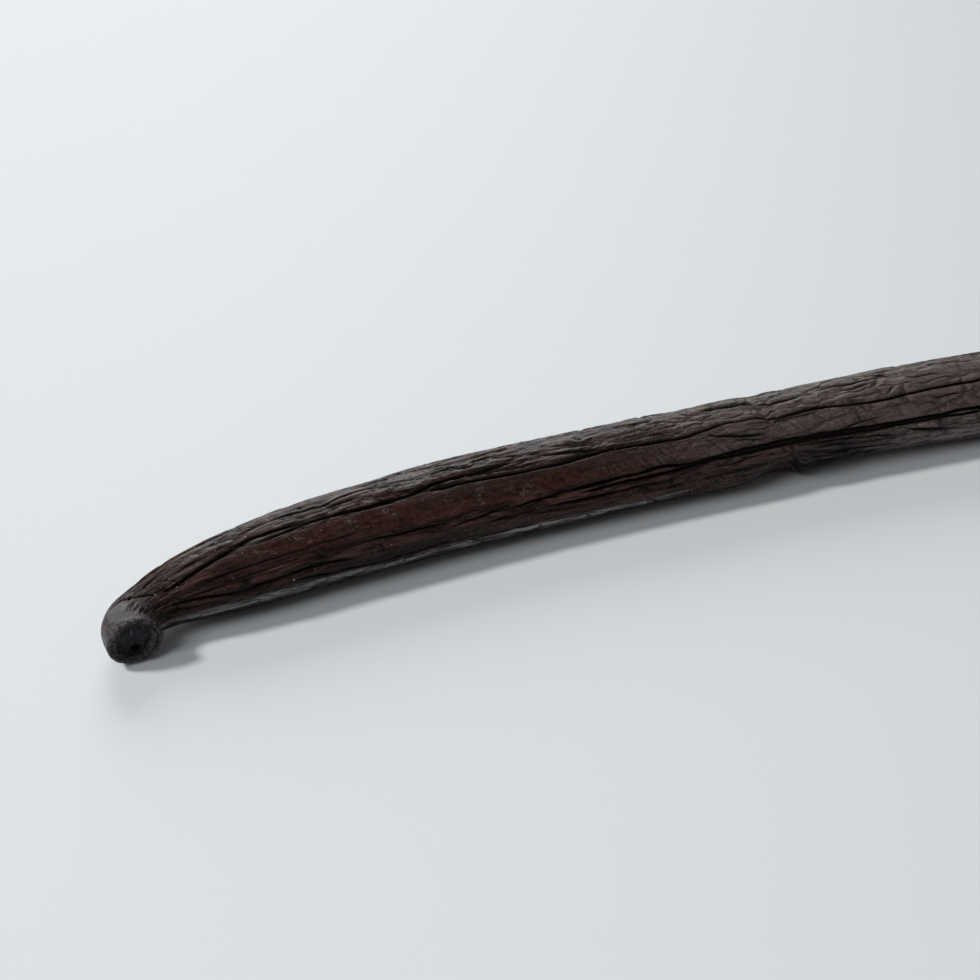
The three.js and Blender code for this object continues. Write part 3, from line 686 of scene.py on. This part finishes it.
def ring_rows():
    """One row per ring: along, shares of width and thickness, shift ahead, aside, drop, way, part."""
    half_wide, half_tall = STATIONS[0, 3] / 2, STATIONS[0, 4] / 2
    hole = np.array([HOLE.half / half_wide, HOLE.half / half_tall, HOLE.aside, HOLE.drop])
    pit = np.array([PIT.half_wide / half_wide, PIT.half_tall / half_tall, PIT.aside, PIT.drop])
    inner = 1 - 2 * SCAR.roll / half_wide
    rim = np.array([inner, inner, 0, 0])
    rows = []

    def add(loop, shift, way, part):
        rows.append((0, loop[0], loop[1], shift, loop[2], loop[3], way, part))

    for way in np.linspace(0, 1, ROWS.hole, endpoint=False):
        part_wide = HOLE.bottom + (1 - HOLE.bottom) * way
        narrow = hole * [part_wide, part_wide, 1, 1]
        add(narrow, PIT.depth + HOLE.depth * (1 - way ** 2), way, HOLE_PART)
    for way in np.linspace(0, 1, ROWS.pit, endpoint=False):
        shift = PIT.depth - PIT.dome * math.sin(way * math.pi)
        add(hole + (pit - hole) * way, shift, way, PIT_PART)
    for way in np.linspace(0, 1, ROWS.rim, endpoint=False):
        add(pit + (rim - pit) * way, PIT.depth * (1 - float(ease(way / PIT.wall))), way, RIM_PART)
    for turn in np.radians(np.linspace(180, 0, ROWS.roll, endpoint=False)):
        share = 1 - SCAR.roll / half_wide * (1 - math.cos(turn))
        add((share, share, 0, 0), -SCAR.roll * math.sin(turn), 0, ROLL_PART)
    for along in body_places():
        rows.append((along, 1, 1, 0, 0, 0, 0, BODY_PART))
    for turn in np.radians(np.linspace(0, NOSE.last, ROWS.nose + 1)[1:]):
        share = math.cos(turn)
        dimple = NOSE.dimple * ease(1 - share / NOSE.dimple_size)
        shift = NOSE.length * math.sin(turn) - float(dimple)
        rows.append((LENGTH, share, share, shift, 0, 0, math.sin(turn), NOSE_PART))
    return np.array(rows)


def body_places():
    """Distances along the body of its rings."""
    fine = np.linspace(0, LENGTH, ROW_PARTS + 1)
    hook = ease((ROW_HOOK.end - fine) / ROW_HOOK.fade)
    pinch = between(fine, *ROW_PINCH.along)
    far = ease((fine - ROW_FAR.start) / ROW_FAR.fade)
    weight = 1 + ROW_HOOK.more * hook + ROW_PINCH.more * pinch - ROW_FAR.less * far
    sums = running((weight[1:] + weight[:-1]) / 2)
    return np.interp(np.linspace(0, sums[-1], ROWS.body), sums, fine)


def ring_angles(along):
    """Angles of each ring's vertices, which gather on the shown side and where the folds run."""
    fine = np.arange(0, 360, COLUMN_STEP)
    shown = 1 + COLUMN_SHOWN.more * within(fine, *COLUMN_SHOWN.round)
    shown = shown - COLUMN_UNDER.less * within(fine, *COLUMN_UNDER.round)
    weight = np.tile(shown, (len(along), 1))
    for depth, _, _, *path in ALL_FOLDS:
        rows = rows_of(path, along)
        if not len(rows):
            continue
        s = along[rows]
        near = np.clip(1 - np.abs(apart(fine[None, :], through(path, s))) / COLUMN_FOLD.reach, 0, 1)
        more = COLUMN_FOLD.more * min(depth / COLUMN_FOLD.full_depth, 1)
        weight[rows] += more * fold_share(path, s)[:, None] * near
    sums = np.pad(np.cumsum(weight, axis=1), ((0, 0), (1, 0)))
    edges = np.append(fine, 360)
    targets = np.arange(COLUMNS) / COLUMNS
    return np.array([np.interp(targets * total[-1], total, edges) for total in sums])


def pod_vertices():
    """Vertex places in millimetres by ring and column, with what the material needs."""
    rows = ring_rows()
    along, wide_share, tall_share, shift, aside, drop, way, part = rows.T
    middle, wide, tall, ahead, side, up = frames_at(along)
    turn = ring_angles(along)
    radius = ((wide + tall) / 4)[:, None]
    over_nose = np.where(part == NOSE_PART, NOSE.length * way, 0)
    depth, cuts = relief((along + over_nose)[:, None] + np.zeros_like(turn), turn, radius)
    angle = np.radians(turn)
    angled = 1 + ANGLES.size * np.cos(ANGLES.count * np.radians(turn - ANGLES.turn))
    facing = np.stack([np.cos(angle) / wide[:, None], np.sin(angle) / tall[:, None]], -1)
    facing /= np.linalg.norm(facing, axis=-1)[..., None]
    across = (wide / 2)[:, None] * np.cos(angle) * angled - facing[..., 0] * depth
    height = (tall / 2)[:, None] * np.sin(angle) * angled - facing[..., 1] * depth
    across = across * wide_share[:, None] + aside[:, None]
    height = height * tall_share[:, None] - drop[:, None]
    leaning = SCAR.lean * (1 - ease(along / SCAR.lean_reach))[:, None]
    forward = shift[:, None] + leaning * height + face_lumps(across, height, turn, way, part)
    place = (
        middle[:, None]
        + side[:, None] * across[..., None]
        + up[:, None] * height[..., None]
        + ahead[:, None] * forward[..., None]
    )
    place[..., 2] = np.maximum(place[..., 2], 0)
    return place, rows, turn, cuts


def face_lumps(across, height, turn, way, part):
    """Roughness of the scar's dried face, and its thicker rim on the front side."""
    lumps = 0
    for scale, size, seed in LUMPS:
        u, v = across * scale + LUMPS_SHIFT, height * scale + LUMPS_SHIFT
        lumps = lumps + size * (cloud(u, v, NO_REPEAT, seed) - 0.5)
    on_face = ((part == PIT_PART) | (part == RIM_PART) | (part == ROLL_PART))[:, None]
    on_rim = (part == RIM_PART)[:, None]
    swell = SCAR.swell * np.sin(np.pi * way)[:, None] * (1 - np.cos(np.radians(turn))) / 2
    return np.where(on_face, lumps, 0) - np.where(on_rim, swell, 0)


def new_object(name, data):
    thing = bpy.data.objects.new(name, data)
    bpy.context.collection.objects.link(thing)
    return thing


def new_mesh(name, vertices, faces):
    mesh = bpy.data.meshes.new(name)
    mesh.from_pydata((np.asarray(vertices) * MM).tolist(), [], faces)
    mesh.polygons.foreach_set("use_smooth", [True] * len(mesh.polygons))
    mesh.update()
    return new_object(name, mesh)


def make_pod():
    """The pod's piece, and its body's places, distances and angles by ring and column."""
    place, rows, turn, cuts = pod_vertices()
    along, part = rows[:, 0], rows[:, -1]
    rings = len(rows)
    vertices = np.vstack([place[0].mean(0), place.reshape(-1, 3), place[-1].mean(0)])
    tip = len(vertices) - 1

    def at(ring, column):
        return 1 + ring * COLUMNS + column % COLUMNS

    faces = [(0, at(0, c + 1), at(0, c)) for c in range(COLUMNS)]
    for r in range(rings - 1):
        faces += [(at(r, c), at(r, c + 1), at(r + 1, c + 1), at(r + 1, c)) for c in range(COLUMNS)]
    faces += [(tip, at(rings - 1, c), at(rings - 1, c + 1)) for c in range(COLUMNS)]
    pod = new_mesh("vanilla_pod", vertices, faces)

    angle = np.radians(turn)
    skin_along = (along + rows[:, 3])[:, None] + np.zeros_like(turn)
    skin_radius = SKIN_RADIUS * rows[:, 1][:, None]
    skin = np.stack([skin_along, skin_radius * np.cos(angle), skin_radius * np.sin(angle)], -1)
    grids = {
        "skin_place": skin,
        # `cut` is painted as shade in the folds by the material.
        "cut": cuts,
        "panel": on_part(skin_along, turn, PANEL),
        "scuff": scuff_marks(skin_along, turn),
        "scar": scar_share(along[:, None], turn, part),
        "pit": pit_share(turn, rows[:, 6], part),
        "neck": neck_share(along[:, None], turn),
    }
    for name, grid in grids.items():
        add_attribute(pod, name, grid)
    add_bake_map(pod, place)
    return pod, place[part == BODY_PART], along[part == BODY_PART], turn[part == BODY_PART]


def add_bake_map(piece, place):
    """The map to bake on: the rings of the first half of the length in a strip, the rest above it."""
    far = running(np.linalg.norm(np.diff(place, axis=0), axis=-1).mean(1))
    last = len(far) - 1
    split = int(np.searchsorted(far, far[-1] / 2))
    ring, column = np.meshgrid(np.arange(last), np.arange(COLUMNS), indexing="ij")

    def spots(rings, columns, upper):
        low, high = np.where(upper, far[split], 0), np.where(upper, far[last], far[split])
        u = (far[rings] - low) / (high - low)
        v = columns / COLUMNS
        return np.stack([
            BAKE_EDGE + (1 - 2 * BAKE_EDGE) * u,
            (v + upper) / 2 + BAKE_EDGE * (1 - 2 * v),
        ], -1)

    corners = [(0, 0), (0, 1), (1, 1), (1, 0)]
    body = np.stack([spots(ring + r, column + c, ring >= split) for r, c in corners], axis=2)
    columns = np.arange(COLUMNS)
    caps = []
    for end, order in ((0, (0.5, 1, 0)), (last, (0.5, 0, 1))):
        rings = np.full(COLUMNS, end)
        cap = np.stack([spots(rings, columns + c, rings >= split) for c in order], axis=1)
        cap[:, 0, 0] += BAKE_EDGE * (BAKE_FAN if end else -BAKE_FAN)
        caps.append(cap.reshape(-1, 2))
    layer = piece.data.uv_layers.new(name="OFBake")
    layer.data.foreach_set("uv", np.vstack([caps[0], body.reshape(-1, 2), caps[1]]).ravel())


def make_grains(place, along, turn):
    """Tiny pale grains that stick to the skin."""
    vertices, faces = [], []
    seed = GRAIN_PLAY.seed

    def add(at_along, at_turn, size):
        ring = int(np.argmin(np.abs(along - at_along)))
        column = int(np.argmin(np.abs(apart(turn[ring], at_turn))))
        first = len(vertices)
        for k, way in enumerate([(1, 0, 0), (-1, 0, 0), (0, 1, 0), (0, -1, 0), (0, 0, 1), (0, 0, -1)]):
            reach = size * some(GRAIN_PLAY.reach, chance(at_along, k, seed))
            vertices.append(place[ring, column] + np.array(way) * reach)
        for a, b in ((0, 2), (2, 1), (1, 3), (3, 0)):
            faces.append((first + a, first + b, first + 4))
            faces.append((first + b, first + a, first + 5))

    for spot in GRAINS:
        add(*spot)
    loose = LOOSE_GRAINS
    for k in range(loose.count):
        at_along = some(loose.place, chance(k, 1, seed) ** loose.gather)
        size = some(loose.radius, chance(k, 3, seed) ** loose.power)
        add(at_along, some(loose.angle, chance(k, 2, seed)), size)
    return new_mesh("skin_grains", vertices, faces)


def scar_share(along, turn, part):
    """1 on the scar's face and the rough collar behind it, 0 on the skin."""
    jag = cloud(turn / COLLAR_JAG.turn, np.zeros_like(turn), NO_REPEAT, COLLAR_JAG.seed) - 0.5
    wider = COLLAR.more * np.exp(-(apart(turn, COLLAR.turn) / COLLAR.spread) ** 2)
    edge = COLLAR.edge + wider + COLLAR_JAG.size * jag
    collar = COLLAR.share * ease((edge - along) / COLLAR.fade)
    face = (part <= ROLL_PART)[:, None]
    return np.maximum(face, collar)


def pit_share(turn, way, part):
    """1 in the scar's pit and hole, fading out on the rim."""
    way = way[:, None] + np.zeros_like(turn)
    least = PIT_DARK.least
    in_pit = least + (1 - least) * ease(1 - way)
    on_rim = least * ease(1 - way / PIT_DARK.on_rim)
    return np.select(
        [(part == kind)[:, None] for kind in (HOLE_PART, PIT_PART, RIM_PART)],
        [np.ones_like(turn), in_pit, on_rim],
        0.0,
    )


def neck_share(along, turn):
    """1 on the smooth grey skin of the neck, with painted sheen, up to the step where the body's skin
    begins.
    """
    first, last = NECK_STEP[0][0], NECK_STEP[-1][0]
    step = through(NECK_STEP, np.clip(turn, first, last).ravel())[:, 0].reshape(turn.shape)
    weaker = NECK.weaker * ease((turn - NECK.weaker_from) / NECK.weaker_over)
    neck = ease((step - along) / NECK.fade) * within(turn, *NECK.round)
    front = NECK_FRONT.share * ease((NECK_FRONT.end - along) / NECK_FRONT.fade)
    return np.maximum(neck * (1 - weaker), front * within(turn, *NECK_FRONT.round))


def add_attribute(piece, name, grid):
    """Stores numbers or vectors by ring and column; the two end vertices take their rings' means."""
    kind, entry = ("FLOAT_VECTOR", "vector") if grid.ndim == 3 else ("FLOAT", "value")
    values = np.concatenate([grid[0].mean(0).ravel(), grid.ravel(), grid[-1].mean(0).ravel()])
    piece.data.attributes.new(name, kind, "POINT").data.foreach_set(entry, values)


# ---- Materials ----

class Surface:
    """A material whose nodes are added and linked by short calls."""

    def __init__(self, name):
        self.material = bpy.data.materials.new(name)
        self.material.use_nodes = True
        self.nodes = self.material.node_tree.nodes
        self.links = self.material.node_tree.links
        self.shader = self.nodes["Principled BSDF"]

    def put(self, value, socket):
        """Links an output to a socket, or sets the socket to a plain value."""
        if isinstance(value, bpy.types.NodeSocket):
            self.links.new(value, socket)
        elif hasattr(value, "__len__") and len(value) < len(socket.default_value):
            socket.default_value = [*value, 1]
        else:
            socket.default_value = value

    def node(self, kind, inputs=(), output=0, **settings):
        """Adds a node with its settings and inputs, by name or in order, and gives one of its outputs."""
        node = self.nodes.new("ShaderNode" + kind)
        for name, value in settings.items():
            setattr(node, name, value)
        for name, value in inputs.items() if isinstance(inputs, dict) else enumerate(inputs):
            if value is not None:
                self.put(value, node.inputs[name])
        return node.outputs[output]

    def attribute(self, name, output="Fac"):
        return self.node("Attribute", output=output, attribute_name=name)

    def part_of(self, vector, axis):
        return self.node("SeparateXYZ", (vector,), axis)

    def drawn_in(self, vector, share):
        return self.node("VectorMath", (vector, (share, 1, 1)), operation="MULTIPLY")

    def swayed(self, vector, scale, reach):
        """The vector pushed about by up to half of `reach` by a smooth noise."""
        noise = self.node("TexNoise", {"Vector": vector, "Scale": scale}, "Color")
        return self.node("VectorMath", (noise, (reach, reach, reach), vector), operation="MULTIPLY_ADD")

    def turned(self, vector, ways):
        """The vector measured along three other directions."""
        parts = [self.node("VectorMath", (vector, way), "Value", operation="DOT_PRODUCT") for way in ways]
        return self.node("CombineXYZ", parts)

    def noise(self, vector, share, scale, detail, roughness=0.55, distortion=0):
        """A noise over the vector, which is drawn in to a share along its first direction."""
        return self.node("TexNoise", {
            "Vector": self.drawn_in(vector, share), "Scale": scale,
            "Detail": detail, "Roughness": roughness, "Distortion": distortion,
        }, "Fac")

    def away(self, noise):
        """Distance of a noise from its middle: 0 on thin lines that branch and join."""
        return self.maths("ABSOLUTE", self.maths("SUBTRACT", noise, 0.5), 0)

    def cells(self, vector, sway, reach, share, scale):
        """Distance to the edge of the nearest cell."""
        vector = self.drawn_in(self.swayed(vector, sway, reach), share)
        inputs = {"Vector": vector, "Scale": scale}
        return self.node("TexVoronoi", inputs, "Distance", feature="DISTANCE_TO_EDGE")

    def remap(self, value, low, high, at_low=0, at_high=1):
        """A smooth ramp over the value."""
        inputs = (value, low, high, at_low, at_high)
        return self.node("MapRange", inputs, "Result", interpolation_type="SMOOTHSTEP")

    def maths(self, operation, a, *others):
        """The values put together one after the other."""
        for b in others:
            a = self.node("Math", (a, b), operation=operation)
        return a

    def times(self, *values):
        return self.maths("MULTIPLY", *values)

    def most(self, *values):
        return self.maths("MAXIMUM", *values)

    def rest(self, value):
        """What is left of 1."""
        return self.maths("SUBTRACT", 1, value)

    def blend(self, factor, a, b):
        return self.node("Mix", {0: factor, 6: a, 7: b}, 2, data_type="RGBA")

    def bump(self, height, distance, normal):
        return self.node("Bump", {"Height": height, "Distance": distance, "Normal": normal}, "Normal")

    def dressed(self, looks):
        """The material, once its shader has these looks."""
        for name, value in looks.items():
            self.put(value, self.shader.inputs[name])
        return self.material


def skin_values(skin, place):
    """What the material is made of, by name: measures of the place, noises, and shares of the tints."""
    values = {name: skin.part_of(place, axis) for name, axis in zip(("ahead", "aside", "above"), "XYZ")}
    values["rimward"] = skin.maths("ADD", values["above"], skin.remap(values["ahead"], *RIM_RISE))
    for name in ("panel", "scar", "neck", "cut", "scuff", "pit"):
        values[name] = skin.attribute(name)
    for name, settings in NOISES.items():
        values[name] = skin.noise(place, *settings)
    for name, ramps in SHARES.items():
        values[name] = skin.times(*(skin.remap(values[over], *ramp) for over, *ramp in ramps))
    at = Table(**values)
    bare = skin.most(at.neck, at.scar)
    on_panel, on_crumples = skin.times(at.panel, PANEL_FLAT), skin.times(at.crumpled, CRUMPLED_FLAT)
    at.wrinkled = skin.rest(skin.most(on_panel, bare, on_crumples))
    at.patches = skin.times(at.patches, skin.rest(bare))
    at.upper = skin.times(at.upper, skin.rest(at.panel))
    at.belly = skin.times(at.belly, skin.most(at.near_rim, at.far_rim))
    duller = skin.times(at.far, skin.rest(at.below), skin.rest(at.rear))
    at.duller = skin.maths("ADD", duller, skin.times(at.rear, REAR_DULL))
    return at


def skin_cracks(skin, place, at):
    """How dark the painted shade in the fine cracks is, and their relief."""
    cracks = [
        ("long_cells", skin.cells(place, *LONG_CELLS), at.wrinkled),
        ("lines", skin.away(skin.noise(place, *LINES)), at.wrinkled),
        ("slants", skin.away(skin.noise(skin.turned(place, SLANT), *SLANTS)), at.patches),
        ("crumples", skin.cells(place, *CRUMPLES), at.crumpled),
    ]
    darks, reliefs = [], []
    for name, away, share in cracks:
        shown, dark, cut, depth = CRACKS[name]
        darks.append(skin.times(skin.remap(away, 0, shown, dark, 0), share))
        reliefs.append(skin.times(skin.remap(away, 0, cut, -depth, 0), share))
    return skin.most(*darks), skin.maths("ADD", *reliefs)


def skin_colour(skin, at, cracks):
    """The tints, laid over each other from the broadest to the smallest."""
    red = skin.blend(at.red_light, DARK_SKIN, LIGHT_SKIN)
    flat = skin.blend(at.panel_light, PANEL_DARK_SKIN, PANEL_SKIN)
    red = skin.blend(skin.times(at.panel, PANEL_FLAT), red, flat)
    # Random dust, and painted sheen on the top band near the hook, in the same grey.
    red = skin.blend(skin.most(at.dust, at.upper), red, DUST_AND_SHEEN_SKIN)
    dull = skin.blend(at.dull_light, DULL_DARK_SKIN, DULL_LIGHT_SKIN)
    # Painted floor reflection on the lower side of the far part.
    dull = skin.blend(at.lower, dull, LOW_REFLECTION_SKIN)
    dried = skin.blend(at.scar_light, SCAR_DARK, SCAR_LIGHT)
    dried = skin.blend(at.pit, dried, SCAR_PIT)
    dried = skin.blend(at.scar_glint, dried, SCAR_GLINT)
    colour = skin.blend(at.duller, red, dull)
    for share, tint in (
        # Painted shade on the top band and in the hollow, and painted floor reflection on the bottom rim,
        # are among these.
        (at.shaded, DARK_SKIN), (at.ridge, TOP_BAND_SHADE), (at.belly, RIM_REFLECTION_SKIN), (at.hollow, HOLLOW_SHADE),
        # Painted shade in the cracks and the folds.
        (at.neck, NECK_GREY_AND_SHEEN), (skin.times(cracks, CRACK_SHADE), FURROW_SHADE), (at.furrow, FURROW_SHADE),
        (skin.times(at.scuff, at.scuffed), SCUFF), (at.scar, dried),
    ):
        colour = skin.blend(share, colour, tint)
    return colour


def skin_material():
    """Cured skin: dark red-brown, oily satin, finely cracked along the pod, with a dull black scar."""
    skin = Surface("cured_skin")
    place = skin.attribute("skin_place", "Vector")
    at = skin_values(skin, place)
    cracks, crack_relief = skin_cracks(skin, place, at)
    normal = None
    for height, depth in (
        (skin.times(at.ribs, at.wrinkled), BUMPS.ribs),
        (crack_relief, BUMPS.cracks),
        (skin.times(at.lumps, at.scar), BUMPS.lumps),
        (at.grain, BUMPS.grain),
    ):
        normal = skin.bump(height, depth, normal)
    return skin.dressed({
        "Base Color": skin_colour(skin, at, cracks),
        "Roughness": skin.maths("ADD", at.roughness, skin.times(at.duller, DULL_ROUGHER)),
        "Normal": normal,
        **SHINE,
    })


# ---- Camera, lights and floor ----

def add_camera():
    turn, rise = math.radians(CAMERA.turn), math.radians(CAMERA.elevation)
    ahead = Vector((math.sin(turn) * math.cos(rise), math.cos(turn) * math.cos(rise), -math.sin(rise)))
    data = bpy.data.cameras.new("camera")
    data.sensor_width = SENSOR_MM
    data.lens = SENSOR_MM / 2 / math.tan(math.radians(CAMERA.view_angle / 2))
    data.clip_start = CLIP_START
    camera = new_object("camera", data)
    camera.location = LOOK_AT - ahead * CAMERA.distance
    camera.rotation_euler = ahead.to_track_quat("-Z", "Y").to_euler()
    bpy.context.scene.camera = camera


def add_light(name, size, power, place, colour):
    data = bpy.data.lights.new(name, "AREA")
    data.shape = "DISK"
    data.size = size
    data.energy = power
    data.color = colour
    light = new_object(name, data)
    light.location = place
    light.rotation_euler = (-light.location).to_track_quat("-Z", "Y").to_euler()


def add_floor():
    signs = ((-1, -1), (1, -1), (1, 1), (-1, 1))
    floor = new_mesh("surface", [(x * FLOOR_HALF, y * FLOOR_HALF, 0) for x, y in signs], [(0, 1, 2, 3)])
    floor.data.materials.append(Surface("pale_surface").dressed(FLOOR_LOOKS))


def add_world():
    world = bpy.data.worlds.new("studio")
    world.use_nodes = True
    for name, value in WORLD.items():
        world.node_tree.nodes["Background"].inputs[name].default_value = value
    bpy.context.scene.world = world
    bpy.context.scene.view_settings.view_transform = "Standard"


add_camera()
add_world()
for light_name, light_settings in LIGHTS.items():
    add_light(light_name, *light_settings)
add_floor()

pod, *skin_grid = make_pod()
pod.data.materials.append(skin_material())
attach(pod, "root")
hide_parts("pod")

grains = make_grains(*skin_grid)
grains.data.materials.append(Surface("pale_grain").dressed(GRAIN_LOOKS))
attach(grains, "root")
